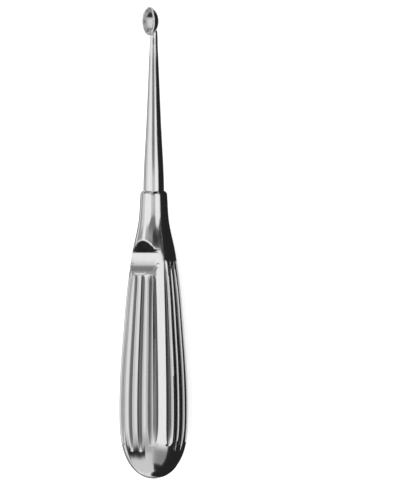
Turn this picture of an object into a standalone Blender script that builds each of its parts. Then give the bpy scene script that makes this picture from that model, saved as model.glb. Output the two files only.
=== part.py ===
"""Bone curette: a deep oval cup on a tapered round shaft, in a hollow fluted handle.

The tool is built along +Y, from the butt of the handle at 0 to the tip of the cup,
with the mouth of the cup and the thumb scoop facing +Z. It is then tilted about X,
to lie on a straight stretch of its handle's back ribs, with the cup just clear of the
floor. Lengths are in metres and angles in degrees, and an angle round the handle is
counted from the front.
"""

import math

import bmesh
import bpy
import numpy as np
from mathutils import Matrix

# Handle outline: lengths from the butt onwards, and the radius where each one ends
BUTT_LENGTH = 0.0255
BELLY_RADIUS = 0.01239
BARREL_LENGTH = 0.0346
BARREL_RADIUS = 0.01039
TAPER_LENGTH = 0.0201
TAPER_RADIUS = 0.00798
FLARE_LENGTH = 0.0144
FLARE_RADIUS = 0.0053
NECK_LENGTH = 0.0080
NECK_RADIUS = 0.00485
NECK_CHAMFER = 0.0010
BUTT_POWER = 3.0
WALL = 0.0009

# Flutes: a front and a back panel, two side panels, and four plain lands between them
LAND_ANGLE = 51.0
LAND_WIDTH = 0.0029
LAND_SHARES = (-0.55, 0.0, 0.55)
WIDE_PANEL_DISH = 0.00005
WIDE_RIB_PITCH = 20.9
WIDE_RIB_HALF = 5.4
SIDE_RIB_PITCH = 17.0
SIDE_RIB_HALF = 4.4
FLUTE_DEPTH = 0.00085
EDGE_RIDGE_SHARE = 0.4
FLUTE_LOW_END = 0.0104
OUTER_LOW_SETBACK = 0.0022
LOW_RUN_OUT = 0.0085
SCOOP_MARGIN = 0.0004
SCOOP_RUN_OUT = 0.0022
TOP_SETBACK = 0.0240
TOP_RUN_OUT = 0.0120
NARROWEST_GROOVE = 0.3

# Thumb scoop: a round cut across the front
SCOOP_SETBACK = 0.0210
SCOOP_FLOOR = 0.0059
SCOOP_RADIUS = 0.0130

# Shaft, from its tang inside the neck to its end under the cup
TANG_LENGTH = 0.0185
TANG_CHAMFER = 0.0006
SHAFT_ROOT_RADIUS = 0.00375
SHAFT_UPPER_LENGTH = 0.0270
SHAFT_MIDDLE_RADIUS = 0.00260
SHAFT_LOWER_LENGTH = 0.0270
SHAFT_TIP_RADIUS = 0.00149
SHAFT_TO_CUP = 0.0029
FIT_GAP = 0.0003

# Cup: a half egg, open to the front, with a slightly crowned rim
CUP_LENGTH = 0.0105
CUP_WIDTH = 0.00575
CUP_DEPTH = 0.0050
CUP_BACK = 0.0016
CUP_WALL = 0.00055
RIM_CROWN_RADIUS = 0.0200

# The stretch of the ribs that the tool lies on, as shares of the way from belly to scoop
REST_LOW_SHARE = 0.41
REST_HIGH_SHARE = 0.80

# Fineness of the meshes
BUTT_STEPS = 13
BARREL_STEPS = 4
TAPER_STEPS = 2
SCOOP_STEPS = 7
NECK_STEPS = 9
TURNED_STEPS = 32
SHAFT_STEPS = 14
SHAFT_END_STEPS = 6
SHAFT_END_POWER = 0.25
CAVITY_STEPS = 24
CAVITY_BUTT_STEPS = 8
CAVITY_BODY_STEPS = 12
SCOOP_SEGMENTS = 96
RIM_SEGMENTS = 128
CUP_SEGMENTS = 28
CUP_RINGS = 20
SEARCH_STEP = 0.0001
SHARP_ANGLE = 35.0

STEEL_COLOUR = (0.60, 0.60, 0.61, 1.0)
HANDLE_ROUGHNESS = 0.28
SHAFT_ROUGHNESS = 0.25

HANDLE_LENGTH = BUTT_LENGTH + BARREL_LENGTH + TAPER_LENGTH + FLARE_LENGTH + NECK_LENGTH
BORE_RADIUS = SHAFT_ROOT_RADIUS + FIT_GAP
SCOOP_AT = HANDLE_LENGTH - SCOOP_SETBACK
SHAFT_TIP_AT = HANDLE_LENGTH + SHAFT_UPPER_LENGTH + SHAFT_LOWER_LENGTH
CUP_AT = SHAFT_TIP_AT + SHAFT_TO_CUP + CUP_LENGTH / 2
CUP_CENTRE_HEIGHT = CUP_DEPTH - CUP_BACK
BEYOND_NECK = HANDLE_LENGTH + 3 * NECK_CHAMFER
ACROSS_HANDLE = 4 * BELLY_RADIUS
ACROSS_CUP = 2 * CUP_WIDTH

GROOVE_POINTS = (-1.0, -0.6, 0.0, 0.6, 1.0)
GROOVE_SHARES = (0.2, 0.95, 1.0, 0.95, 0.2)


def clear_scene():
    for obj in list(bpy.data.objects):
        bpy.data.objects.remove(obj, do_unlink=True)


def new_collection(name):
    collection = bpy.data.collections.new(name)
    bpy.context.scene.collection.children.link(collection)
    return collection


def curve_slopes(points):
    """Slopes that keep a curve through the points from rising where they fall."""
    steps = [(b[0] - a[0], (b[1] - a[1]) / (b[0] - a[0])) for a, b in zip(points, points[1:])]
    slopes = [0.0]
    for (before, slope_before), (after, slope_after) in zip(steps, steps[1:]):
        if slope_before * slope_after <= 0:
            slopes.append(0.0)
            continue
        first, second = 2 * after + before, after + 2 * before
        slopes.append((first + second) / (first / slope_before + second / slope_after))
    slopes.append(steps[-1][1])
    return slopes


def curve_value(points, at):
    """Height at one place of the smooth curve through the points."""
    slopes = curve_slopes(points)
    at = min(max(at, points[0][0]), points[-1][0])
    for i, (start, end) in enumerate(zip(points, points[1:])):
        if at <= end[0]:
            break
    width = end[0] - start[0]
    t = (at - start[0]) / width
    return (
        (2 * t**3 - 3 * t**2 + 1) * start[1]
        + (t**3 - 2 * t**2 + t) * width * slopes[i]
        + (3 * t**2 - 2 * t**3) * end[1]
        + (t**3 - t**2) * width * slopes[i + 1]
    )


def body_outline():
    """Points (place, radius) of the handle from its belly to the end of its neck."""
    lengths = (0, BARREL_LENGTH, TAPER_LENGTH, FLARE_LENGTH, NECK_LENGTH)
    radii = (BELLY_RADIUS, BARREL_RADIUS, TAPER_RADIUS, FLARE_RADIUS, NECK_RADIUS)
    places = BUTT_LENGTH + np.cumsum(lengths)
    return list(zip(places.tolist(), radii))


def handle_radius(at):
    """Radius of the handle's lands: a rounded butt, then one smooth curve to the neck."""
    if at < BUTT_LENGTH:
        return BELLY_RADIUS * math.sqrt(1 - ((BUTT_LENGTH - at) / BUTT_LENGTH) ** BUTT_POWER)
    return curve_value(body_outline(), at)


def scoop_height(at):
    """Distance of the thumb scoop's floor from the handle's axis."""
    aside = min(abs(at - SCOOP_AT), SCOOP_RADIUS)
    return SCOOP_FLOOR + SCOOP_RADIUS - math.sqrt(SCOOP_RADIUS**2 - aside**2)


def scoop_low_end():
    """Where the scoop's floor comes out on the front panel, on the butt's side."""
    at = SCOOP_AT
    flat = math.cos(math.radians(WIDE_RIB_PITCH))
    while scoop_height(at) < handle_radius(at) * flat and at > BUTT_LENGTH:
        at -= SEARCH_STEP
    return at


def scoop_zone():
    """Where the front grooves start to run out under the scoop."""
    return scoop_low_end() - SCOOP_MARGIN - SCOOP_RUN_OUT


def rest_ends():
    """The two places between which the ribs of the back are straight."""
    span = scoop_zone() - BUTT_LENGTH
    return BUTT_LENGTH + REST_LOW_SHARE * span, BUTT_LENGTH + REST_HIGH_SHARE * span


def run_out(inside, length):
    """Share of the full depth at a distance inside the end of a groove."""
    t = min(max(inside / length, 0.0), 1.0)
    return math.sqrt(1 - (1 - t) ** 2)


def groove_share(at, low_end, top_end, top_length):
    return min(run_out(at - low_end, LOW_RUN_OUT), run_out(top_end - at, top_length))


def panel_points(at, centre, pitch, rib_half, edge, top_end, top_length, ridge):
    """Points (angle, radius) across one panel at one place along the handle.

    The crests of the three ribs lie on one flat, and that of a wide panel is dished a
    little, so that the tool rests on the outer two. Each rib falls away to the groove
    on either side, and a groove grows narrower as it runs out. A wide panel has a low
    ridge in each of its outer grooves.
    """
    radius = handle_radius(at)
    flatness = groove_share(at, FLUTE_LOW_END - LOW_RUN_OUT, top_end, TOP_RUN_OUT)
    crests = [-pitch, 0.0, pitch]
    walls = [-edge] + [c + side * rib_half for c in crests for side in (-1, 1)] + [edge]

    def surface(angle):
        flat = min(math.cos(math.radians(pitch)) / math.cos(math.radians(angle)), 1.0)
        return radius * (1 + flatness * (flat - 1))

    points = []
    for i, (start, end) in enumerate(zip(walls[::2], walls[1::2])):
        outer = i in (0, 3)
        low_end = FLUTE_LOW_END + OUTER_LOW_SETBACK * outer
        share = groove_share(at, low_end, top_end, top_length)
        half = (end - start) / 2 * max(math.sqrt(share), NARROWEST_GROOVE)
        middle = (start + end) / 2
        for t, depth_share in zip(GROOVE_POINTS, GROOVE_SHARES):
            if outer and ridge and t == 0.0:
                depth_share = 1 - EDGE_RIDGE_SHARE
            angle = middle + t * half
            depth = FLUTE_DEPTH * share * depth_share
            points.append((centre + angle, surface(angle) - depth))
        if i < 3:
            dish = WIDE_PANEL_DISH * flatness * (ridge and i == 1)
            points.append((centre + crests[i], surface(crests[i]) - dish))
    return points


def handle_ring(at):
    """One closed section of the handle, as points in the tool's frame."""
    flute_top = HANDLE_LENGTH - TOP_SETBACK
    land_radius = handle_radius(min(max(at, FLUTE_LOW_END), flute_top))
    land_half = math.degrees(math.asin(LAND_WIDTH / 2 / land_radius))
    wide_edge = LAND_ANGLE - land_half
    side_edge = 90 - LAND_ANGLE - land_half
    front_top = scoop_low_end() - SCOOP_MARGIN
    wide = (WIDE_RIB_PITCH, WIDE_RIB_HALF, wide_edge)
    side = (SIDE_RIB_PITCH, SIDE_RIB_HALF, side_edge)
    panels = (
        (0, *wide, front_top, SCOOP_RUN_OUT, True),
        (90, *side, flute_top, TOP_RUN_OUT, False),
        (180, *wide, flute_top, TOP_RUN_OUT, True),
        (270, *side, flute_top, TOP_RUN_OUT, False),
    )
    lands = (LAND_ANGLE, 180 - LAND_ANGLE, 180 + LAND_ANGLE, 360 - LAND_ANGLE)
    polar = []
    for panel, land in zip(panels, lands):
        polar += panel_points(at, *panel)
        polar += [(land + t * land_half, handle_radius(at)) for t in LAND_SHARES]
    ring = []
    for angle, radius in polar:
        turn = math.radians(angle)
        ring.append((radius * math.sin(turn), at, radius * math.cos(turn)))
    return ring


def even(start, end, steps):
    return [start + (end - start) * (i + 1) / steps for i in range(steps)]


def handle_places():
    """Places along the handle that get a section, closer where the form changes."""
    places = []
    for i in range(BUTT_STEPS):
        turn = math.radians(90) * (i + 1) / BUTT_STEPS
        places.append(BUTT_LENGTH * (1 - math.cos(turn)))
    rest_low, rest_high = rest_ends()
    places += even(BUTT_LENGTH, rest_low, BARREL_STEPS)
    places.append(rest_high)
    places += even(rest_high, scoop_zone(), TAPER_STEPS)
    places += even(scoop_zone(), SCOOP_AT, SCOOP_STEPS)
    return places + even(SCOOP_AT, HANDLE_LENGTH, NECK_STEPS)


def loft(name, start, rings):
    """A closed skin from one start point through rings of as many points each."""
    mesh = bpy.data.meshes.new(name)
    shape = bmesh.new()
    tip = shape.verts.new(start)
    loops = [[shape.verts.new(point) for point in ring] for ring in rings]
    count = len(loops[0])
    for i in range(count):
        shape.faces.new((tip, loops[0][i], loops[0][(i + 1) % count]))
    for near, far in zip(loops, loops[1:]):
        for i in range(count):
            j = (i + 1) % count
            shape.faces.new((near[i], far[i], far[j], near[j]))
    shape.faces.new(list(loops[-1]))
    bmesh.ops.recalc_face_normals(shape, faces=shape.faces)
    shape.to_mesh(mesh)
    shape.free()
    return bpy.data.objects.new(name, mesh)


def turned(name, profile, steps):
    """A solid turned about the long axis, from (place, radius) points, butt first."""
    mesh = bpy.data.meshes.new(name)
    points = [(radius, 0.0, at) for at, radius in reversed(profile)]
    mesh.from_pydata(points, [(i, i + 1) for i in range(len(points) - 1)], [])
    obj = bpy.data.objects.new(name, mesh)
    screw = obj.modifiers.new("turn", "SCREW")
    screw.steps = steps
    screw.render_steps = steps
    screw.use_merge_vertices = True
    screw.merge_threshold = 0.00001
    obj.rotation_euler.x = math.radians(-90)
    return obj


def add_boolean(obj, other, operation):
    cut = obj.modifiers.new(other.name, "BOOLEAN")
    cut.operation = operation
    cut.solver = "EXACT"
    cut.object = other


def across_cylinder(name, radius, length, at, height, segments):
    """A cylinder across the tool, with its axis along X."""
    mesh = bpy.data.meshes.new(name)
    shape = bmesh.new()
    bmesh.ops.create_cone(
        shape, cap_ends=True, segments=segments, radius1=radius, radius2=radius, depth=length
    )
    bmesh.ops.rotate(shape, verts=shape.verts, matrix=Matrix.Rotation(math.radians(90), 3, "Y"))
    shape.to_mesh(mesh)
    shape.free()
    obj = bpy.data.objects.new(name, mesh)
    obj.location = (0, at, height)
    return obj


def egg(name, width, length, depth):
    """An ellipsoid about the middle of the cup's mouth."""
    mesh = bpy.data.meshes.new(name)
    shape = bmesh.new()
    bmesh.ops.create_uvsphere(shape, u_segments=CUP_SEGMENTS, v_segments=CUP_RINGS, radius=1)
    bmesh.ops.rotate(shape, verts=shape.verts, matrix=Matrix.Rotation(math.radians(90), 3, "X"))
    bmesh.ops.scale(shape, verts=shape.verts, vec=(width / 2, length / 2, depth))
    shape.to_mesh(mesh)
    shape.free()
    obj = bpy.data.objects.new(name, mesh)
    obj.location = (0, CUP_AT, CUP_CENTRE_HEIGHT)
    return obj


def cavity_profile():
    """The hollow of the handle, then the bore through the neck that takes the tang."""
    flat = math.cos(math.radians(WIDE_RIB_PITCH))
    inset = FLUTE_DEPTH + WALL
    end = HANDLE_LENGTH - TANG_LENGTH
    belly = BELLY_RADIUS * flat - inset
    profile = []
    for i in range(CAVITY_BUTT_STEPS + 1):
        turn = math.radians(90) * i / CAVITY_BUTT_STEPS
        at = BUTT_LENGTH - (BUTT_LENGTH - inset) * math.cos(turn)
        share = ((BUTT_LENGTH - at) / (BUTT_LENGTH - inset)) ** BUTT_POWER
        profile.append((at, belly * math.sqrt(max(1 - share, 0.0))))
    for at in even(BUTT_LENGTH, end, CAVITY_BODY_STEPS):
        under_flutes = handle_radius(at) * flat - inset
        under_scoop = scoop_height(at) - WALL
        profile.append((at, max(min(under_flutes, under_scoop), BORE_RADIUS)))
    profile.append((end, BORE_RADIUS))
    profile.append((BEYOND_NECK, BORE_RADIUS))
    profile.append((BEYOND_NECK, 0.0))
    return [point for i, point in enumerate(profile) if i == 0 or point != profile[i - 1]]


def shaft_profile():
    """Tang, then the shaft's long taper, ending inside the wall of the cup."""
    tang_end = HANDLE_LENGTH - TANG_LENGTH + 2 * FIT_GAP
    taper = [
        (HANDLE_LENGTH, SHAFT_ROOT_RADIUS),
        (HANDLE_LENGTH + SHAFT_UPPER_LENGTH, SHAFT_MIDDLE_RADIUS),
        (SHAFT_TIP_AT, SHAFT_TIP_RADIUS),
    ]
    profile = [
        (tang_end, 0.0),
        (tang_end, SHAFT_ROOT_RADIUS - TANG_CHAMFER),
        (tang_end + TANG_CHAMFER, SHAFT_ROOT_RADIUS),
        (HANDLE_LENGTH, SHAFT_ROOT_RADIUS),
    ]
    for at in even(HANDLE_LENGTH, SHAFT_TIP_AT, SHAFT_STEPS):
        profile.append((at, curve_value(taper, at)))
    blend_end = CUP_AT - CUP_LENGTH / 4
    for i in range(1, SHAFT_END_STEPS):
        turn = math.radians(90) * i / SHAFT_END_STEPS
        at = SHAFT_TIP_AT + (blend_end - SHAFT_TIP_AT) * math.sin(turn)
        profile.append((at, SHAFT_TIP_RADIUS * math.cos(turn) ** SHAFT_END_POWER))
    profile.append((blend_end, 0.0))
    return profile


def steel(name, roughness):
    material = bpy.data.materials.new(name)
    material.use_nodes = True
    shader = material.node_tree.nodes["Principled BSDF"]
    shader.inputs["Base Color"].default_value = STEEL_COLOUR
    shader.inputs["Metallic"].default_value = 1.0
    shader.inputs["Roughness"].default_value = roughness
    return material


def finish(obj, material):
    obj.data.materials.append(material)
    obj.data.shade_smooth()
    obj.data.set_sharp_from_angle(angle=math.radians(SHARP_ANGLE))


def make_handle(parts, cutters):
    """Fluted shell, with the thumb scoop cut across its front and its inside opened."""
    rings = [handle_ring(at) for at in handle_places()]
    mouth = BORE_RADIUS + FIT_GAP / 2
    end = HANDLE_LENGTH + NECK_CHAMFER
    rings.append([(x * mouth / NECK_RADIUS, end, z * mouth / NECK_RADIUS) for x, _, z in rings[-1]])
    handle = loft("fluted_handle", (0, 0, 0), rings)
    parts.objects.link(handle)
    scoop = across_cylinder(
        "thumb_scoop_cut",
        SCOOP_RADIUS,
        ACROSS_HANDLE,
        SCOOP_AT,
        SCOOP_FLOOR + SCOOP_RADIUS,
        SCOOP_SEGMENTS,
    )
    cavity = turned("handle_cavity", cavity_profile(), CAVITY_STEPS)
    for cutter in (scoop, cavity):
        cutters.objects.link(cutter)
        add_boolean(handle, cutter, "DIFFERENCE")
    finish(handle, steel("satin_polished_steel_handle", HANDLE_ROUGHNESS))
    return handle


def make_curette(parts, cutters):
    """Tang, shaft and cup in one piece: the cup's egg, its mouth cut and hollowed."""
    shaft = turned("curette_shaft", shaft_profile(), TURNED_STEPS)
    parts.objects.link(shaft)
    outside = egg("cup_outside", CUP_WIDTH, CUP_LENGTH, CUP_DEPTH)
    inside = egg(
        "cup_inside", CUP_WIDTH - 2 * CUP_WALL, CUP_LENGTH - 2 * CUP_WALL, CUP_DEPTH - CUP_WALL
    )
    rim = across_cylinder(
        "cup_rim_crown",
        RIM_CROWN_RADIUS,
        ACROSS_CUP,
        CUP_AT,
        CUP_CENTRE_HEIGHT - RIM_CROWN_RADIUS,
        RIM_SEGMENTS,
    )
    for cutter in (outside, inside, rim):
        cutters.objects.link(cutter)
    add_boolean(outside, rim, "INTERSECT")
    add_boolean(shaft, outside, "UNION")
    add_boolean(shaft, inside, "DIFFERENCE")
    finish(shaft, steel("satin_polished_steel_shaft", SHAFT_ROUGHNESS))
    return shaft


def world_points(obj):
    evaluated = obj.evaluated_get(bpy.context.evaluated_depsgraph_get())
    mesh = evaluated.to_mesh()
    points = np.array([evaluated.matrix_world @ v.co for v in mesh.vertices])
    evaluated.to_mesh_clear()
    return points


def resting_tilt():
    """Slope of the straight stretch of the back ribs, which lies under the tool's weight."""
    low, high = rest_ends()
    fall = (handle_radius(low) - handle_radius(high)) * math.cos(math.radians(WIDE_RIB_PITCH))
    return math.atan(fall / (high - low))


def lay_down(handle, shaft):
    """Tilts the tool onto its back ribs, with the middle of its box over the origin."""
    bpy.context.view_layer.update()
    tilt = Matrix.Rotation(-resting_tilt(), 4, "X")
    points = np.vstack([world_points(handle), world_points(shaft)])
    points = points @ np.array(tilt)[:3, :3].T
    low, high = points.min(axis=0), points.max(axis=0)
    middle = (low + high) / 2
    place = Matrix.Translation((-middle[0], -middle[1], -low[2])) @ tilt
    rest = bpy.data.objects.new("rest", None)
    bpy.context.scene.collection.objects.link(rest)
    for obj in list(bpy.data.objects):
        if obj is not rest:
            obj.parent = rest
    rest.matrix_world = place


def hide_cutters(cutters):
    for obj in cutters.objects:
        obj.hide_render = True
        obj.display_type = "WIRE"


def main():
    clear_scene()
    parts = new_collection("bone_curette")
    cutters = new_collection("cutters")
    handle = make_handle(parts, cutters)
    shaft = make_curette(parts, cutters)
    hide_cutters(cutters)
    lay_down(handle, shaft)
    bpy.context.view_layer.update()


main()
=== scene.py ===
"""Bone curette: a deep oval cup on a tapered shaft, in a hollow fluted steel handle.

The pieces are worked out along the tool's own axis, +Y, from the butt of the handle
at 0 to the tip of the cup, with the thumb scoop and the mouth of the cup facing +Z.
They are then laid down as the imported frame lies. Lengths are in metres.
"""

import math

import bmesh
import bpy
import numpy as np
from bpy.props import FloatProperty, FloatVectorProperty, PointerProperty
from mathutils import Matrix, Vector


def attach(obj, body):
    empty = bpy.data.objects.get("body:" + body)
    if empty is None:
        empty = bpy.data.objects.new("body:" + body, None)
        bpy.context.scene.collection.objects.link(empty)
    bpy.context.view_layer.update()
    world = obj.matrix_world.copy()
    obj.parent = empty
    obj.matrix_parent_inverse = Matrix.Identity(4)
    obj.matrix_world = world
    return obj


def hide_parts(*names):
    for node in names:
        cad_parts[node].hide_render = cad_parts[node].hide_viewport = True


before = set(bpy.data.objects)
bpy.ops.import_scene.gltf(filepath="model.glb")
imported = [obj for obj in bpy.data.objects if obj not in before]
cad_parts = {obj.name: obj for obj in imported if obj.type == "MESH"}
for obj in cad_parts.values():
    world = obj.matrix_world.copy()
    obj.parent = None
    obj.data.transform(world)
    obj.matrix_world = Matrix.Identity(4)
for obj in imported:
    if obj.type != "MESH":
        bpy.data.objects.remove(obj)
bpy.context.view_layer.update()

bl_info = {
    "name": "Fluted Bone Curette",
    "version": (1, 0, 0),
    "blender": (4, 5, 0),
    "location": "3D View > Sidebar > Curette",
    "description": "Builds a steel bone curette with a fluted handle and its photo stage",
    "category": "Add Mesh",
}

# How finely the pieces are drawn
BUTT_RINGS = 90
BARREL_RINGS = 84
SCOOP_RINGS = 120
NECK_RINGS = 26
GROOVE_SAMPLES = (-1.0, -0.9, -0.8, -0.65, -0.35, 0.0, 0.35, 0.65, 0.8, 0.9, 1.0)
RIB_SAMPLES = (-0.8, -0.45, 0.0, 0.45, 0.8)
LAND_SAMPLES = (-0.8, -0.4, 0, 0.4, 0.8)
TURNED_SIDES = 128
CUP_SIDES = 144
SHARP_ANGLE = math.radians(40)

# Roughness of the satin polish
HANDLE_ROUGHNESS = 0.13
SHAFT_ROUGHNESS = 0.12

# Glow of the paper floor in reflections, and how much more of it the camera sees
FLOOR_GLOW = 0.20
FLOOR_LIFT = 0.54
# Even light of the white room
WORLD_GREY = (0.70, 0.70, 0.70, 1.0)
# Distance of the first far card, and how much nearer each later one stands
FAR_DISTANCE = 2.6
FAR_STEP = 0.02

# The polished steel mirrors its surroundings, so its look comes from what stands round
# it: soft boxes, grey and black cards, and the gaps between them. Nothing but the
# steel's reflections sees a card. Angles are in degrees, lengths in metres.

# Far cards: name, angles round the tool, angles along it, brightness, soft edges
STUDIO_CARDS = (
    ("overhead_softbox", (-80, -18), (-14, 50), 0.97, (4, 4)),
    ("right_softbox", (10, 52), (-32, 24), 0.98, (4, 4)),
    ("dim_card_by_the_camera", (-9, 12), (-34, 24), 0.60, (5, 5)),
    ("dim_side_left", (-156, -102), (-12, 64), 0.34, (6, 6)),
    ("grey_gap_below_left", (-136, -84), (-38, -10), 0.10, (5, 5)),
    ("grey_gap_below", (-88, -6), (-40, -15), 0.50, (5, 5)),
    ("dark_gap_below", (-98, -57), (-38, -20), 0.006, (13, 5)),
    ("grey_gap_below_right", (-24, 100), (-72, -24), 0.28, (44, 13)),
    ("dark_gap_below_right", (74, 176), (-88, -28), 0.02, (4, 4)),
    ("dark_end_on_the_right", (-4, 184), (-90, -60), 0.02, (6, 6)),
    ("dark_gap_above", (-10, 52), (20, 64), 0.010, (2, 2)),
    ("dark_gap_above_right", (42, 156), (18, 64), 0.010, (2, 2)),
    ("grey_gap_above", (-60, -8), (17, 64), 0.42, (4, 4)),
    ("grey_gap_above_left", (-110, -84), (14, 64), 0.22, (4, 4)),
    ("grey_gap_far_above", (-87, -58), (36, 78), 0.28, (4, 4)),
)
# Near cards: name, angles round the tool at either end, places of the ends along it,
# distance, brightness
NEAR_CARDS = (
    ("dark_card_over_the_shaft", (-15, 10), (-42, 16), (0.135, 0.185), 0.25, 0.20),
    ("dark_card_right_of_the_shaft", (52, 60), (34, 60), (0.135, 0.185), 0.25, 0.08),
    ("light_card_left_of_the_cup", (-126, -92), (-126, -92), (0.157, 0.178), 0.05, 1.0),
    ("light_card_right_of_the_cup", (48, 80), (48, 80), (0.157, 0.178), 0.05, 1.0),
)
# Standing cards, square to the tool: name, angles round it, distances from it, place
STANDING_CARDS = (
    ("dark_card_before_the_cup", (-135, -60), (0.006, 0.032), 0.150, 0.01),
)
# Cards on the floor: name, reach at either end in heights of the tool's axis,
# places of the ends along the tool, brightness
FLOOR_CARDS = (
    ("black_card_on_the_right", (0.35, 210), (0.35, 2400), (-0.03, 0.26), 0.02),
    ("grey_card_on_the_left", (-7.5, -0.6), (-7.5, -0.6), (-0.03, 0.26), 0.26),
    ("black_card_below_the_butt", (-0.1, 210), (-1.9, 210), (0.0015, -0.065), 0.02),
    ("black_card_beyond_the_butt", (-1.9, 210), (-36, 210), (-0.065, -2.8), 0.02),
)


def linear(hex_colour):
    """Linear colour of an sRGB hex value."""
    values = [int(hex_colour[i:i + 2], 16) / 255 for i in (1, 3, 5)]
    return [v / 12.92 if v <= 0.04045 else ((v + 0.055) / 1.055) ** 2.4 for v in values]


def length(name, description, default):
    return FloatProperty(
        name=name, description=description, default=default, min=0, unit="LENGTH", precision=5
    )


class HandleSizes(bpy.types.PropertyGroup):
    """Sizes of the hollow handle."""

    butt_length: length("Butt length", "Rounded end, up to the belly", 0.0255)
    belly_radius: length("Belly radius", "Thickest part of the handle", 0.01239)
    barrel_length: length("Barrel length", "From the belly to the end of the barrel", 0.0346)
    barrel_radius: length("Barrel radius", "At the end of the barrel", 0.01039)
    taper_length: length("Taper length", "From the barrel to the start of the flare", 0.0201)
    taper_radius: length("Taper radius", "At the start of the flare", 0.00798)
    flare_length: length("Flare length", "From the taper to the neck", 0.0144)
    flare_radius: length("Flare radius", "Where the flare meets the neck", 0.0053)
    neck_length: length("Neck length", "Plain part that takes the shaft", 0.0080)
    neck_radius: length("Neck radius", "At the end of the neck", 0.00485)
    neck_chamfer: length("Neck chamfer", "Bevel at the end of the neck", 0.0010)
    wall: length("Wall", "Thickness of the shell", 0.0009)
    land_width: length("Land width", "Plain strip between two fluted panels", 0.0029)
    flute_depth: length("Flute depth", "Depth of the grooves", 0.00085)
    scoop_setback: length("Scoop setback", "From the end of the neck to the scoop", 0.0216)
    scoop_floor: length("Scoop floor", "From the axis to the scoop's floor", 0.00530)
    scoop_radius: length("Scoop radius", "Roundness of the scoop", 0.0100)
    scoop_edge: length("Scoop edge", "Rounding of the scoop's rim", 0.00012)


class ShaftSizes(bpy.types.PropertyGroup):
    """Sizes of the shaft and its cup."""

    tang_length: length("Tang length", "Part hidden in the neck", 0.0185)
    root_radius: length("Root radius", "Where the shaft leaves the neck", 0.00375)
    upper_length: length("Upper length", "First half of the taper", 0.0270)
    middle_radius: length("Middle radius", "Halfway along the taper", 0.00260)
    lower_length: length("Lower length", "Second half of the taper", 0.0270)
    tip_radius: length("Tip radius", "Thinnest part, under the cup", 0.00149)
    to_cup: length("To the cup", "From the thinnest part to the cup", 0.0029)
    cup_length: length("Cup length", "Along the tool", 0.0105)
    cup_width: length("Cup width", "Across the mouth", 0.00575)
    cup_depth: length("Cup depth", "Outside, under the highest part of the rim", 0.0050)
    cup_back: length("Cup back", "From the axis to the back of the cup", 0.0016)
    cup_wall: length("Cup wall", "Thickness at the rim", 0.00055)
    rim_crown: length("Rim crown", "Roundness of the rim, seen from the side", 0.0200)
    fit_gap: length("Fit gap", "Room round the tang", 0.0003)


class SteelLook(bpy.types.PropertyGroup):
    """Colour and finish of the steel."""

    bright: FloatVectorProperty(
        name="Polished steel",
        description="Colour of the polished surfaces",
        subtype="COLOR",
        default=linear("#ECECEC"),
        min=0,
        max=1,
    )
    # Painted shade: the darker colour given to the groove floors, in place of the shade that
    # falls in them
    painted_groove_shade: FloatVectorProperty(
        name="Groove floor",
        description="Colour where the polishing wheel doesn't reach",
        subtype="COLOR",
        default=linear("#727272"),
        min=0,
        max=1,
    )
    grain: FloatProperty(
        name="Grain",
        description="Spacing of the polishing marks",
        default=0.00035,
        min=0.00005,
        unit="LENGTH",
        precision=5,
    )


class StageLook(bpy.types.PropertyGroup):
    """Camera and floor."""

    view_turn: FloatProperty(
        name="View turn",
        description="How far the camera stands round the tool from the scoop's side",
        default=math.radians(36),
        subtype="ANGLE",
    )
    distance: length("Camera distance", "From the camera to the tool", 1.5)
    frame_height: length("Frame height", "Height of the picture at the tool", 0.1751)
    aside: length("Aside", "From the tool's axis to the middle of the picture", 0.01664)
    along: length("Along", "From the butt to the middle of the picture", 0.0849)
    floor: FloatVectorProperty(
        name="Floor",
        description="Colour of the floor",
        subtype="COLOR",
        default=linear("#F7F7F7"),
        min=0,
        max=1,
    )


def curve_slopes(points):
    """Slopes that keep a curve through the points from rising where they fall."""
    steps = [(b[0] - a[0], (b[1] - a[1]) / (b[0] - a[0])) for a, b in zip(points, points[1:])]
    slopes = [0.0]
    for (before, slope_before), (after, slope_after) in zip(steps, steps[1:]):
        if slope_before * slope_after <= 0:
            slopes.append(0.0)
            continue
        first, second = 2 * after + before, after + 2 * before
        slopes.append((first + second) / (first / slope_before + second / slope_after))
    slopes.append(steps[-1][1])
    return slopes


def curve(points):
    """A smooth curve through the points, as a function of the place."""
    slopes = curve_slopes(points)

    def value(at):
        at = min(max(at, points[0][0]), points[-1][0])
        i = next(i for i, end in enumerate(points[1:]) if at <= end[0])
        start, end = points[i], points[i + 1]
        width = end[0] - start[0]
        t = (at - start[0]) / width
        return (
            (2 * t**3 - 3 * t**2 + 1) * start[1]
            + (t**3 - 2 * t**2 + t) * width * slopes[i]
            + (3 * t**2 - 2 * t**3) * end[1]
            + (t**3 - t**2) * width * slopes[i + 1]
        )

    return value


def soft_min(a, b, blend):
    """The smaller of two values, rounded where they meet."""
    overlap = max(blend - abs(a - b), 0.0) / blend
    return min(a, b) - overlap * overlap * blend / 4


def loft(name, start, rings, end, groove):
    """A closed skin from a start point through rings of as many points to an end point."""
    mesh = bpy.data.meshes.new(name)
    count = len(rings[0])
    points = [start] + [point for ring in rings for point in ring] + [end]
    last = len(points) - 1
    faces = [(0, 1 + i, 1 + (i + 1) % count) for i in range(count)]
    for row in range(len(rings) - 1):
        near, far = 1 + row * count, 1 + (row + 1) * count
        for i in range(count):
            j = (i + 1) % count
            faces.append((near + i, far + i, far + j, near + j))
    near = 1 + (len(rings) - 1) * count
    faces += [(near + (i + 1) % count, near + i, last) for i in range(count)]
    mesh.from_pydata(points, [], faces)
    shape = bmesh.new()
    shape.from_mesh(mesh)
    bmesh.ops.recalc_face_normals(shape, faces=shape.faces)
    shape.to_mesh(mesh)
    shape.free()
    # The groove depth kept here darkens the steel's colour in the grooves, which is painted
    # shade, and also makes them rougher
    marks = mesh.attributes.new("groove", "FLOAT", "POINT")
    marks.data.foreach_set("value", [0.0] + groove + [0.0] * (last - len(groove)))
    return mesh


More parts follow.
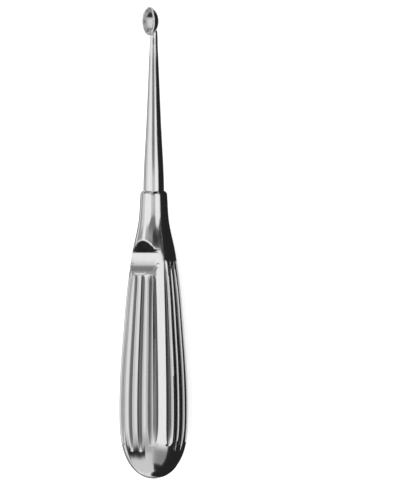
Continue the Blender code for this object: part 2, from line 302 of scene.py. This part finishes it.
def ring(at, radius, sides):
    """A round ring of points about the tool's axis."""
    return [
        (radius * math.sin(math.tau * i / sides), at, radius * math.cos(math.tau * i / sides))
        for i in range(sides)
    ]


def lie_of_the_frame():
    """The tool's tilt and place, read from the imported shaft's rings and the butt's tip."""
    points = np.array([v.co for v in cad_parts["curette_shaft"].data.vertices])
    points = points[np.argsort(points[:, 1])]
    ring_gap = 0.0015
    cuts = np.flatnonzero(np.diff(points[:, 1]) > ring_gap) + 1
    rings = np.split(points, cuts)
    near, far = [(rings[i].min(axis=0) + rings[i].max(axis=0)) / 2 for i in (3, 9)]
    tilt = math.atan2(near[2] - far[2], far[1] - near[1])
    turn = Matrix.Rotation(-tilt, 4, "X")
    points = np.array([v.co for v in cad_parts["fluted_handle"].data.vertices])
    level = points @ np.array(turn)[:3, :3]
    return Matrix.Translation(points[level[:, 1].argmin()]) @ turn, tilt


class Handle:
    """The handle's form: the radius of its skin at any place and angle."""

    # The butt's roundness: 2 would be an ellipse, more is blunter
    butt_power = 3.0
    # Where the lands are, in degrees from the scoop's side and from the back
    land_angle = 51.0
    # Pitch and half width of the ribs of the wide and the side panels, in degrees
    wide = (20.9, 5.4)
    side = (17.0, 4.4)
    # Height of the slim ridge in the outer grooves, as a share of their depth, and its
    # half width as a share of theirs
    ridge_share = 0.7
    ridge_half = 0.45
    # How far a rib's edges lie under its crest, as a share of the grooves' depth
    rib_roundness = 0.14
    side_roundness = 0.5
    # Ends of the grooves, from the butt and from the neck, and how long they run out
    low_end = 0.0104
    outer_setback = 0.0022
    low_run_out = 0.0085
    scoop_margin = 0.0004
    scoop_run_out = 0.0022
    top_setback = 0.0240
    top_run_out = 0.0120
    # Width that a groove keeps where it runs out
    narrowest = 0.3
    # The straight stretch that the tool rests on, from the belly, and how much lower
    # the middle rib of a wide panel lies
    rest_low = 0.01886
    rest_high = 0.0368
    dish = 0.00005
    # Where the scoop's rise ends, in its radii, and the least cosine that counts as front
    scoop_reach = 0.8
    front_cosine = 0.1
    # The scoop's rise towards the neck: its knee, its slope and its softer rim
    scoop_bend = 0.0006
    scoop_rise = 0.330
    upper_edge = 0.6

    def __init__(self, sizes):
        self.sizes = sizes
        lengths = (
            0, sizes.barrel_length, sizes.taper_length, sizes.flare_length, sizes.neck_length
        )
        radii = (
            sizes.belly_radius,
            sizes.barrel_radius,
            sizes.taper_radius,
            sizes.flare_radius,
            sizes.neck_radius,
        )
        places = (sizes.butt_length + np.cumsum(lengths)).tolist()
        self.length = places[-1]
        self.body = curve(list(zip(places, radii)))
        self.scoop_at = self.length - sizes.scoop_setback
        self.flute_top = self.length - self.top_setback
        # Depth across a groove, from wall to wall: steep walls and a flat floor
        self.groove_form = curve(
            [(-1.0, 0.0), (-0.75, 0.92), (0.0, 1.0), (0.75, 0.92), (1.0, 0.0)]
        )
        self.rest = [sizes.butt_length + at for at in (self.rest_low, self.rest_high)]
        self.front_top = self.scoop_low_end() - self.scoop_margin

    def radius(self, at):
        """A rounded butt, then one smooth curve, straight where the tool rests."""
        butt = self.sizes.butt_length
        if at < butt:
            share = ((butt - at) / butt) ** self.butt_power
            return self.sizes.belly_radius * math.sqrt(1 - share)
        low, high = self.rest
        if low < at < high:
            share = (at - low) / (high - low)
            return (1 - share) * self.body(low) + share * self.body(high)
        return self.body(at)

    def scoop_height(self, at):
        """A round thumb rest with a straighter rise towards the neck."""
        radius, bend = self.sizes.scoop_radius, self.scoop_bend
        beyond = at - self.scoop_at
        if beyond <= -radius or beyond >= self.scoop_reach * radius:
            return None
        if beyond > bend:
            rise = self.scoop_rise * (beyond - bend / 2)
        elif beyond > 0:
            rise = self.scoop_rise * beyond**2 / (2 * bend)
        else:
            rise = radius - math.sqrt(radius**2 - beyond**2)
        return self.sizes.scoop_floor + rise

    def scoop_low_end(self):
        """Where the scoop comes out through the ribs, found in steps of a tenth of a mm."""
        at = self.scoop_at
        flat = math.cos(math.radians(self.wide[0]))
        while self.scoop_height(at) < self.radius(at) * flat:
            at -= 0.0001
        return at

    @staticmethod
    def run_out(inside, reach):
        """Share of the full depth at a distance inside a groove's rounded end."""
        t = min(max(inside / reach, 0.0), 1.0)
        return math.sqrt(1 - (1 - t) ** 2)

    def groove_share(self, at, low_end, top_end, top_reach):
        return min(
            self.run_out(at - low_end, self.low_run_out), self.run_out(top_end - at, top_reach)
        )

    def panel(self, at, pitch, rib_half, edge, top_end, top_reach, ridge):
        """Points (angle from the panel's middle, radius, depth share) across a panel."""
        radius = self.radius(at)
        flatness = self.groove_share(
            at, self.low_end - self.low_run_out, top_end, self.top_run_out
        )
        roundness = self.rib_roundness if ridge else self.side_roundness
        crests = (-pitch, 0.0, pitch)
        walls = [-edge] + [c + side * rib_half for c in crests for side in (-1, 1)] + [edge]

        def surface(angle):
            flat = min(math.cos(math.radians(pitch)) / math.cos(math.radians(angle)), 1.0)
            return radius * (1 + flatness * (flat - 1))

        points = []
        for i, (start, end) in enumerate(zip(walls[::2], walls[1::2])):
            outer = i in (0, 3)
            low_end = self.low_end + self.outer_setback * outer
            share = self.groove_share(at, low_end, top_end, top_reach)
            half = (end - start) / 2 * max(math.sqrt(share), self.narrowest)
            middle = (start + end) / 2
            for t in GROOVE_SAMPLES:
                brow = roundness * (i > 0 if t < 0 else i < 3)
                form = brow + (1 - brow) * self.groove_form(t)
                if outer and ridge:
                    form -= self.ridge_share * max(1 - (t / self.ridge_half) ** 2, 0.0)
                # The depth share doubles as the groove mark, which darkens the steel's colour:
                # painted shade
                depth = share * form
                angle = middle + t * half
                points.append((angle, surface(angle) - self.sizes.flute_depth * depth, depth))
            if i < 3:
                dish = self.dish * flatness * (ridge and i == 1)
                for t in RIB_SAMPLES:
                    angle = crests[i] + t * rib_half
                    drop = self.sizes.flute_depth * share * roundness * t * t
                    # Ribs carry a quarter of the groove mark, so painted shade darkens them a
                    # little too
                    points.append((angle, surface(angle) - drop - dish, 0.25 * share))
        return points

    def meet_the_rim(self, polar, scoop):
        """Moves the samples nearest to the scoop's rim onto it, so that the rim runs true."""
        moved = dict(enumerate(polar))
        done = set()
        for i, (angle, radius, mark) in enumerate(polar):
            j = (i + 1) % len(polar)
            next_angle, next_radius, _ = polar[j]
            if j == 0:
                angle -= 360
            facing = math.cos(math.radians(angle))
            above = radius * facing - scoop
            next_above = next_radius * math.cos(math.radians(next_angle)) - scoop
            if above * next_above >= 0 or facing < self.front_cosine:
                continue
            t = above / (above - next_above)
            k = i if t < 0.5 else j
            if k in done:
                continue
            done.add(k)
            met = angle + t * (next_angle - angle)
            if k == i and j == 0:
                met += 360
            moved[k] = (met, radius + t * (next_radius - radius), polar[k][2])
        return list(moved.values())

    def section(self, at):
        """One closed ring of the outer skin, and how deep in a groove each point lies."""
        land_radius = self.radius(min(max(at, self.low_end), self.flute_top))
        land_half = math.degrees(math.asin(self.sizes.land_width / 2 / land_radius))
        wide = (*self.wide, self.land_angle - land_half)
        side = (*self.side, 90 - self.land_angle - land_half)
        panels = (
            (0, *wide, self.front_top, self.scoop_run_out, True),
            (90, *side, self.flute_top, self.top_run_out, False),
            (180, *wide, self.flute_top, self.top_run_out, True),
            (270, *side, self.flute_top, self.top_run_out, False),
        )
        lands = (
            self.land_angle, 180 - self.land_angle, 180 + self.land_angle, 360 - self.land_angle
        )
        polar = []
        for (centre, *panel), land in zip(panels, lands):
            polar += [(centre + angle, radius, d) for angle, radius, d in self.panel(at, *panel)]
            polar += [(land + t * land_half, self.radius(at), 0.0) for t in LAND_SAMPLES]
        scoop = self.scoop_height(at)
        beyond = min(max((at - self.scoop_at) / self.scoop_bend, 0.0), 1.0)
        edge = self.sizes.scoop_edge * (1 + self.upper_edge * beyond)
        if scoop is not None:
            polar = self.meet_the_rim(polar, scoop)
        points, marks = [], []
        for angle, radius, mark in polar:
            turn = math.radians(angle)
            if scoop is not None and math.cos(turn) > self.front_cosine:
                radius = soft_min(radius, scoop / math.cos(turn), edge)
            points.append((radius * math.sin(turn), at, radius * math.cos(turn)))
            marks.append(mark)
        return points, marks

    def places(self):
        """Where the rings lie, closer together at the butt's tip and in the scoop."""
        butt = [
            self.sizes.butt_length * (1 - math.cos(math.pi / 2 * (i + 1) / BUTT_RINGS))
            for i in range(BUTT_RINGS)
        ]
        scoop_start = self.front_top - self.scoop_run_out
        scoop_end = self.scoop_at + 0.75 * self.sizes.scoop_radius
        barrel = np.linspace(self.sizes.butt_length, scoop_start, BARREL_RINGS)[1:]
        scoop = np.linspace(scoop_start, scoop_end, SCOOP_RINGS)[1:]
        neck = np.linspace(scoop_end, self.length, NECK_RINGS)[1:]
        return butt + barrel.tolist() + scoop.tolist() + neck.tolist()

    def hollow(self, bore, tang_length):
        """Places and radii of the inside, from the neck's mouth to the butt's inside."""
        flat = math.cos(math.radians(self.wide[0]))
        inset = self.sizes.flute_depth + self.sizes.wall
        end = self.length - tang_length
        butt = self.sizes.butt_length
        profile = [(end, bore)]
        for at in np.linspace(end, butt, 40)[1:]:
            scoop = self.scoop_height(at)
            under = self.radius(at) * flat - inset
            if scoop is not None:
                under = min(under, scoop - self.sizes.wall)
            profile.append((float(at), max(under, bore)))
        belly = self.sizes.belly_radius * flat - inset
        for i in range(1, 16):
            at = butt - (butt - inset) * math.sin(math.pi / 2 * i / 16)
            share = ((butt - at) / (butt - inset)) ** self.butt_power
            profile.append((at, belly * math.sqrt(1 - share)))
        return profile, (0, inset, 0)


def place(mesh, rest, node, material):
    """Puts a mesh of the tool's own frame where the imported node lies."""
    mesh.transform(rest)
    mesh.shade_smooth()
    mesh.set_sharp_from_angle(angle=SHARP_ANGLE)
    mesh.materials.clear()
    mesh.materials.append(material)
    obj = bpy.data.objects.new(mesh.name, mesh)
    bpy.context.scene.collection.objects.link(obj)
    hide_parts(node)
    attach(obj, "root")
    return obj


def make_handle_mesh(sizes, bore, tang_length):
    """The outer skin from butt to neck, round the neck's end, and back down the inside."""
    handle = Handle(sizes)
    rings, marks = [], []
    for at in handle.places():
        points, depths = handle.section(at)
        rings.append(points)
        marks += depths
    mouth = bore + 0.00015
    tip = rings[-1]
    for at, radius in (
        (handle.length + 0.06 * sizes.neck_chamfer, sizes.neck_radius - 0.00001),
        (handle.length + sizes.neck_chamfer, mouth),
        (handle.length + sizes.neck_chamfer, bore),
        (handle.length, bore),
    ):
        scale = radius / sizes.neck_radius
        rings.append([(x * scale, at, z * scale) for x, _, z in tip])
    profile, inner_pole = handle.hollow(bore, tang_length)
    for at, radius in profile:
        scale = radius / sizes.neck_radius
        rings.append([(x * scale, at, z * scale) for x, _, z in tip])
    return loft("hollow_fluted_handle", (0, 0, 0), rings, inner_pole, marks)


def make_shaft_mesh(sizes, handle_length):
    """Tang and shaft, turned, with a blunt end that lies in the cup's wall."""
    tip_at = handle_length + sizes.upper_length + sizes.lower_length
    cup_at = tip_at + sizes.to_cup + sizes.cup_length / 2
    tang_end = handle_length - sizes.tang_length + 2 * sizes.fit_gap
    chamfer = 0.0006
    end_power = 0.25
    taper = curve([
        (handle_length, sizes.root_radius),
        (handle_length + sizes.upper_length, sizes.middle_radius),
        (tip_at, sizes.tip_radius),
    ])
    profile = [(tang_end, sizes.root_radius - chamfer), (tang_end + chamfer, sizes.root_radius)]
    profile.append((handle_length, sizes.root_radius))
    profile += [(float(at), taper(at)) for at in np.linspace(handle_length, tip_at, 90)[1:]]
    blend_end = cup_at - sizes.cup_length / 4
    for i in range(1, 12):
        turn = math.pi / 2 * i / 12
        at = tip_at + (blend_end - tip_at) * math.sin(turn)
        profile.append((at, sizes.tip_radius * math.cos(turn) ** end_power))
    rings = [ring(at, radius, TURNED_SIDES) for at, radius in profile]
    return loft("tapered_shaft", (0, tang_end, 0), rings, (0, blend_end, 0), [])


def make_cup_mesh(sizes, cup_at):
    """A half egg with a crowned, rounded rim, from its back over the rim to its inside."""
    height = sizes.cup_depth - sizes.cup_back
    half_width, half_length = sizes.cup_width / 2, sizes.cup_length / 2
    lip = sizes.cup_wall / 2

    def rim_drop(y):
        return sizes.rim_crown - math.sqrt(sizes.rim_crown**2 - y**2)

    def point(turn, inset, fall):
        """A point on an egg that lies inset inside the outer one, at a fall under the rim."""
        rx, ry = half_width - inset, half_length - inset
        deep = sizes.cup_depth - inset
        y = ry * math.cos(turn)
        for _ in range(4):
            low = min(rim_drop(y) + fall * (deep - rim_drop(y)) / deep, deep)
            shrink = math.sqrt(max(1 - (low / deep) ** 2, 0.0))
            y = ry * shrink * math.cos(turn)
        return (rx * shrink * math.sin(turn), cup_at + y, height - low)

    outer = [sizes.cup_depth * math.cos(math.pi / 2 * i / 26) for i in range(1, 26)]
    rows = [(0.0, fall) for fall in outer] + [(0.0, lip * 0.6)]
    for i in range(1, 8):
        turn = math.pi * i / 8
        rows.append((lip * (1 - math.cos(turn)), lip * 0.6 * (1 - math.sin(turn))))
    rows.append((sizes.cup_wall, lip * 0.6))
    deep = sizes.cup_depth - sizes.cup_wall
    inner = [deep * math.sin(math.pi / 2 * i / 22) for i in range(2, 22)]
    rows += [(sizes.cup_wall, fall) for fall in inner]
    rings = [
        [point(math.tau * i / CUP_SIDES, inset, fall) for i in range(CUP_SIDES)]
        for inset, fall in rows
    ]
    back = (0, cup_at, height - sizes.cup_depth)
    return loft("oval_cup", back, rings, (0, cup_at, height - deep), [])


def join_shaft_and_cup(shaft, cup):
    """One mesh of the shaft and the cup, joined where the shaft ends in the cup's wall."""
    scene = bpy.context.scene.collection
    whole = bpy.data.objects.new("cup_and_shaft", shaft)
    other = bpy.data.objects.new("oval_cup", cup)
    for obj in (whole, other):
        scene.objects.link(obj)
    union = whole.modifiers.new("cup", "BOOLEAN")
    union.operation = "UNION"
    union.solver = "EXACT"
    union.object = other
    bpy.context.view_layer.update()
    evaluated = whole.evaluated_get(bpy.context.evaluated_depsgraph_get())
    mesh = bpy.data.meshes.new_from_object(evaluated)
    mesh.name = "cup_and_shaft"
    for obj in (whole, other):
        bpy.data.objects.remove(obj)
    return mesh


def add_node(tree, kind, links=(), **settings):
    """Adds one node with its settings, and joins other nodes' outputs to its inputs."""
    node = tree.nodes.new(kind)
    for name, value in settings.items():
        setattr(node, name, value)
    for socket, source in links:
        if isinstance(source, bpy.types.NodeSocket):
            tree.links.new(source, node.inputs[socket])
        else:
            node.inputs[socket].default_value = source
    return node


def polished_steel(name, look, tilt, roughness):
    """Stainless steel, satin polished along its length on a fine wheel.

    It mirrors the studio in long soft stripes. Fine marks along the tool break them up
    a little. The floors of the grooves are rougher, and painted shade darkens their colour.
    """
    material = bpy.data.materials.new(name)
    material.use_nodes = True
    tree = material.node_tree
    shader = tree.nodes["Principled BSDF"]
    shader.inputs["Metallic"].default_value = 1.0
    place_in = add_node(tree, "ShaderNodeTexCoord")
    level = add_node(
        tree,
        "ShaderNodeMapping",
        [("Vector", place_in.outputs["Object"]), ("Rotation", (tilt, 0, 0))],
    )
    across = 1 / look.grain
    marks = add_node(
        tree,
        "ShaderNodeMapping",
        [("Vector", level.outputs[0]), ("Scale", (across, across / 40, across))],
    )
    grain = add_node(
        tree,
        "ShaderNodeTexNoise",
        [("Vector", marks.outputs[0]), ("Scale", 1.0), ("Detail", 3.0), ("Roughness", 0.6)],
    )
    cloud = add_node(
        tree,
        "ShaderNodeTexNoise",
        [("Vector", level.outputs[0]), ("Scale", 120.0), ("Detail", 2.0)],
    )
    # Painted shade: the colour darkens towards the groove-shade tone as the groove mark rises.
    # The extra roughness there is the grooves' duller finish.
    depth = add_node(tree, "ShaderNodeAttribute", attribute_name="groove")
    floor = add_node(
        tree,
        "ShaderNodeMapRange",
        [("Value", depth.outputs["Fac"]), ("From Min", 0.0), ("From Max", 1.0)],
        interpolation_type="SMOOTHSTEP",
    )
    colour_with_painted_shade = add_node(
        tree,
        "ShaderNodeMix",
        [(6, (*look.bright, 1.0)), (7, (*look.painted_groove_shade, 1.0)), (0, floor.outputs[0])],
        data_type="RGBA",
    )
    streak = add_node(
        tree,
        "ShaderNodeMapRange",
        [("Value", grain.outputs[0]), ("From Min", 0.3), ("From Max", 0.7),
         ("To Min", 0.93), ("To Max", 1.0)],
    )
    shade = add_node(
        tree,
        "ShaderNodeMix",
        [(0, 1.0), (6, colour_with_painted_shade.outputs[2]), (7, streak.outputs[0])],
        data_type="RGBA",
        blend_type="MULTIPLY",
    )
    tree.links.new(shade.outputs[2], shader.inputs["Base Color"])
    gloss = add_node(
        tree,
        "ShaderNodeMapRange",
        [("Value", cloud.outputs[0]), ("From Min", 0.3), ("From Max", 0.7),
         ("To Min", roughness * 0.85), ("To Max", roughness * 1.2)],
    )
    rough = add_node(
        tree,
        "ShaderNodeMath",
        [(0, floor.outputs[0]), (1, 0.12), (2, gloss.outputs[0])],
        operation="MULTIPLY_ADD",
    )
    tree.links.new(rough.outputs[0], shader.inputs["Roughness"])
    bump = add_node(
        tree,
        "ShaderNodeBump",
        [("Height", grain.outputs[0]), ("Strength", 0.08), ("Distance", 0.00002)],
    )
    tree.links.new(bump.outputs[0], shader.inputs["Normal"])
    return material


def seen_through(tree, shaded, plain):
    """Mixes in a plain emission for the camera and for what metal and glass show."""
    path = add_node(tree, "ShaderNodeLightPath")
    seen = add_node(
        tree,
        "ShaderNodeMath",
        [(0, path.outputs["Is Camera Ray"]), (1, path.outputs["Is Glossy Ray"])],
        operation="MAXIMUM",
    )
    seen = add_node(
        tree,
        "ShaderNodeMath",
        [(0, seen.outputs[0]), (1, path.outputs["Is Transmission Ray"])],
        operation="MAXIMUM",
    )
    return add_node(
        tree, "ShaderNodeMixShader", [(0, seen.outputs[0]), (1, shaded), (2, plain)]
    )


def matt_white_floor(look):
    """White seamless paper: even and bright, with the tool's soft shadow left on it."""
    material = bpy.data.materials.new("matt_white_paper")
    material.use_nodes = True
    tree = material.node_tree
    tree.nodes.remove(tree.nodes["Principled BSDF"])
    paper = add_node(
        tree, "ShaderNodeBsdfDiffuse", [("Color", (*look.floor, 1.0))]
    )
    path = add_node(tree, "ShaderNodeLightPath")
    strength = add_node(
        tree,
        "ShaderNodeMath",
        [(0, path.outputs["Is Camera Ray"]), (1, FLOOR_LIFT), (2, FLOOR_GLOW)],
        operation="MULTIPLY_ADD",
    )
    glow = add_node(
        tree,
        "ShaderNodeEmission",
        [("Color", (1, 1, 1, 1)), ("Strength", strength.outputs[0])],
    )
    both = add_node(
        tree, "ShaderNodeAddShader", [(0, paper.outputs[0]), (1, glow.outputs[0])]
    )
    mixed = seen_through(tree, paper.outputs[0], both.outputs[0])
    tree.links.new(mixed.outputs[0], tree.nodes["Material Output"].inputs["Surface"])
    return material


def glow_material(name, strength, one_sided):
    """Matt card of one brightness, see-through where its cover fades to nothing.

    A one-sided card can be seen through from behind.
    """
    material = bpy.data.materials.new(name)
    material.use_nodes = True
    tree = material.node_tree
    tree.nodes.remove(tree.nodes["Principled BSDF"])
    light = add_node(
        tree, "ShaderNodeEmission", [("Color", (1, 1, 1, 1)), ("Strength", strength)]
    )
    clear = add_node(tree, "ShaderNodeBsdfTransparent")
    cover = add_node(tree, "ShaderNodeAttribute", attribute_name="cover")
    side = add_node(tree, "ShaderNodeNewGeometry")
    solid = add_node(
        tree,
        "ShaderNodeMath",
        [(0, side.outputs["Backfacing"]), (1, -1.0 * one_sided), (2, cover.outputs["Fac"])],
        operation="MULTIPLY_ADD",
        use_clamp=True,
    )
    mixed = add_node(
        tree,
        "ShaderNodeMixShader",
        [(0, solid.outputs[0]), (1, clear.outputs[0]), (2, light.outputs[0])],
    )
    tree.links.new(mixed.outputs[0], tree.nodes["Material Output"].inputs["Surface"])
    return material


def card(name, points, faces, strength, rest, cover=None, one_sided=False):
    """A studio card of one brightness that only the polished steel sees."""
    mesh = bpy.data.meshes.new(name)
    mesh.from_pydata([rest @ Vector(p) for p in points], [], faces)
    mark = mesh.attributes.new("cover", "FLOAT", "POINT")
    mark.data.foreach_set("value", cover or [1.0] * len(points))
    mesh.materials.append(glow_material(name, strength, one_sided))
    obj = bpy.data.objects.new(name, mesh)
    bpy.context.scene.collection.objects.link(obj)
    obj.visible_camera = False
    obj.visible_diffuse = False
    obj.visible_shadow = False
    obj.visible_transmission = False
    return obj


def studio_card(name, around, along, strength, soft, far, rest, view_turn):
    """A curved card, far off, that fades out over its soft edge.

    The angles round the tool are counted from the camera's side, and those along it
    from straight out towards the cup. All of them are in degrees.
    """
    middle = Vector((0, 0.085, 0))
    columns = max(int((around[1] - around[0]) / soft[0] * 2), 16)
    rows = max(int((along[1] - along[0]) / soft[1] * 2), 8)
    points, faces, cover = [], [], []
    for i in range(columns + 1):
        degrees = around[0] + (around[1] - around[0]) * i / columns
        turn = math.radians(degrees) + view_turn
        for j in range(rows + 1):
            leaning = along[0] + (along[1] - along[0]) * j / rows
            lean = math.radians(leaning)
            out = Vector((
                math.sin(turn) * math.cos(lean), math.sin(lean), math.cos(turn) * math.cos(lean)
            ))
            points.append(middle + far * out)
            inside = min(degrees - around[0], around[1] - degrees) / soft[0]
            inside_along = min(leaning - along[0], along[1] - leaning) / soft[1]
            t = min(inside, inside_along, 1.0)
            cover.append(t * t * (3 - 2 * t))
    for i in range(columns):
        for j in range(rows):
            a = i * (rows + 1) + j
            faces.append((a, a + rows + 1, a + rows + 2, a + 1))
    card(name, points, faces, strength, rest, cover)


def near_card(name, ends, span, away, strength, rest, view_turn):
    """A card beside the tool, between angles round it that change from end to end."""
    points = []
    for around, at in zip(ends, span):
        for angle in around:
            turn = math.radians(angle) + view_turn
            points.append((away * math.sin(turn), at, away * math.cos(turn)))
    card(name, points, [(0, 1, 3, 2)], strength, rest)


def standing_card(name, around, reach, at, strength, rest, view_turn):
    """A flat card square to the tool's axis, seen from the cup's side only."""
    steps = 12
    points, faces = [], []
    for i in range(steps + 1):
        turn = math.radians(around[0] + (around[1] - around[0]) * i / steps) + view_turn
        points += [(away * math.sin(turn), at, away * math.cos(turn)) for away in reach]
        if i:
            a = 2 * i
            faces.append((a - 2, a - 1, a + 1, a))
    card(name, points, faces, strength, rest, one_sided=True)


def floor_card(name, reaches, span, strength, rest):
    """A card on the floor beside the tool, narrower where the tool lies lower."""
    lift = 0.0003
    lowest, highest = 0.0012, 0.014
    inverse = rest.inverted()
    corners = []
    for at, reach in zip(span, reaches):
        axis = rest @ Vector((0, at, 0))
        height = min(max(axis.z, lowest), highest)
        corners.append([(share * height, axis.y, lift) for share in reach])
    (a, b), (c, d) = corners
    points = [inverse @ Vector(p) for p in (a, b, d, c)]
    card(name, points, [(0, 1, 2, 3)], strength, rest)


class CURETTE_OT_handle(bpy.types.Operator):
    """Makes the hollow fluted handle"""

    bl_idname = "curette.fluted_handle"
    bl_label = "Fluted Handle"

    def execute(self, context):
        scene = context.scene
        sizes, shaft = scene.curette_handle, scene.curette_shaft
        form = Handle(sizes)
        rest, tilt = lie_of_the_frame()
        bore = shaft.root_radius + shaft.fit_gap
        mesh = make_handle_mesh(sizes, bore, shaft.tang_length)
        steel = polished_steel(
            "satin_polished_stainless_handle", scene.curette_steel, tilt, HANDLE_ROUGHNESS
        )
        place(mesh, rest, "fluted_handle", steel)
        return {"FINISHED"}


class CURETTE_OT_shaft(bpy.types.Operator):
    """Makes the shaft with its tang and cup"""

    bl_idname = "curette.cup_and_shaft"
    bl_label = "Cup and Shaft"

    def execute(self, context):
        scene = context.scene
        sizes = scene.curette_shaft
        handle_length = Handle(scene.curette_handle).length
        rest, tilt = lie_of_the_frame()
        tip_at = handle_length + sizes.upper_length + sizes.lower_length
        cup_at = tip_at + sizes.to_cup + sizes.cup_length / 2
        shaft = make_shaft_mesh(sizes, handle_length)
        cup = make_cup_mesh(sizes, cup_at)
        mesh = join_shaft_and_cup(shaft, cup)
        steel = polished_steel(
            "satin_polished_stainless_shaft", scene.curette_steel, tilt, SHAFT_ROUGHNESS
        )
        place(mesh, rest, "curette_shaft", steel)
        return {"FINISHED"}


class CURETTE_OT_stage(bpy.types.Operator):
    """Makes the floor, the lights and the camera"""

    bl_idname = "curette.stage"
    bl_label = "Floor, Lights and Camera"

    def execute(self, context):
        scene = context.scene
        look = scene.curette_stage
        rest, _ = lie_of_the_frame()
        self.make_floor(look)
        self.make_light(scene, rest)
        self.make_camera(scene, look, rest)
        scene.view_settings.view_transform = "Standard"
        return {"FINISHED"}

    def make_floor(self, look):
        mesh = bpy.data.meshes.new("paper_floor")
        half = 3.0
        corners = [(-half, -half, 0), (half, -half, 0), (half, half, 0), (-half, half, 0)]
        mesh.from_pydata(corners, [], [(0, 1, 2, 3)])
        mesh.materials.append(matt_white_floor(look))
        floor = bpy.data.objects.new("paper_floor", mesh)
        bpy.context.scene.collection.objects.link(floor)

    def make_light(self, scene, rest):
        world = bpy.data.worlds.new("soft_studio")
        scene.world = world
        world.use_nodes = True
        tree = world.node_tree
        background = tree.nodes["Background"]
        background.inputs["Strength"].default_value = 1.0
        background.inputs["Color"].default_value = WORLD_GREY
        view_turn = scene.curette_stage.view_turn
        for order, (name, around, along, strength, soft) in enumerate(STUDIO_CARDS):
            far = FAR_DISTANCE - FAR_STEP * order
            studio_card(name, around, along, strength, soft, far, rest, view_turn)
        for name, start, end, span, away, strength in NEAR_CARDS:
            near_card(name, (start, end), span, away, strength, rest, view_turn)
        for name, around, reach, at, strength in STANDING_CARDS:
            standing_card(name, around, reach, at, strength, rest, view_turn)
        for name, near, far, span, strength in FLOOR_CARDS:
            floor_card(name, (near, far), span, strength, rest)

    def make_camera(self, scene, look, rest):
        data = bpy.data.cameras.new("photo_camera")
        data.sensor_width = 36
        data.lens = data.sensor_width * look.distance / look.frame_height
        camera = bpy.data.objects.new("photo_camera", data)
        scene.collection.objects.link(camera)
        turn = rest.to_3x3()
        back = turn @ Vector((math.sin(look.view_turn), 0, math.cos(look.view_turn)))
        right = turn @ Vector((math.cos(look.view_turn), 0, -math.sin(look.view_turn)))
        up = turn @ Vector((0, 1, 0))
        target = rest @ Vector((0, look.along, 0)) + right * look.aside
        pose = Matrix((right, up, back)).transposed().to_4x4()
        pose.translation = target + back * look.distance
        camera.matrix_world = pose
        scene.camera = camera


class CURETTE_PT_panel(bpy.types.Panel):
    """Lists the sizes, the steel and the buttons that make each piece"""

    bl_label = "Bone Curette"
    bl_idname = "CURETTE_PT_panel"
    bl_space_type = "VIEW_3D"
    bl_region_type = "UI"
    bl_category = "Curette"

    def draw(self, context):
        for title, group, operator in (
            ("Handle", "curette_handle", CURETTE_OT_handle),
            ("Shaft and cup", "curette_shaft", CURETTE_OT_shaft),
            ("Steel", "curette_steel", None),
            ("Stage", "curette_stage", CURETTE_OT_stage),
        ):
            column = self.layout.column(align=True)
            column.label(text=title)
            settings = getattr(context.scene, group)
            for name in settings.__annotations__:
                column.prop(settings, name)
            if operator:
                column.operator(operator.bl_idname)


CLASSES = (
    HandleSizes,
    ShaftSizes,
    SteelLook,
    StageLook,
    CURETTE_OT_handle,
    CURETTE_OT_shaft,
    CURETTE_OT_stage,
    CURETTE_PT_panel,
)


def register():
    for cls in CLASSES:
        bpy.utils.register_class(cls)
    bpy.types.Scene.curette_handle = PointerProperty(type=HandleSizes)
    bpy.types.Scene.curette_shaft = PointerProperty(type=ShaftSizes)
    bpy.types.Scene.curette_steel = PointerProperty(type=SteelLook)
    bpy.types.Scene.curette_stage = PointerProperty(type=StageLook)


def unregister():
    del bpy.types.Scene.curette_stage
    del bpy.types.Scene.curette_steel
    del bpy.types.Scene.curette_shaft
    del bpy.types.Scene.curette_handle
    for cls in reversed(CLASSES):
        bpy.utils.unregister_class(cls)


def main():
    register()
    bpy.ops.curette.fluted_handle()
    bpy.ops.curette.cup_and_shaft()
    bpy.ops.curette.stage()


if __name__ == "__main__":
    main()
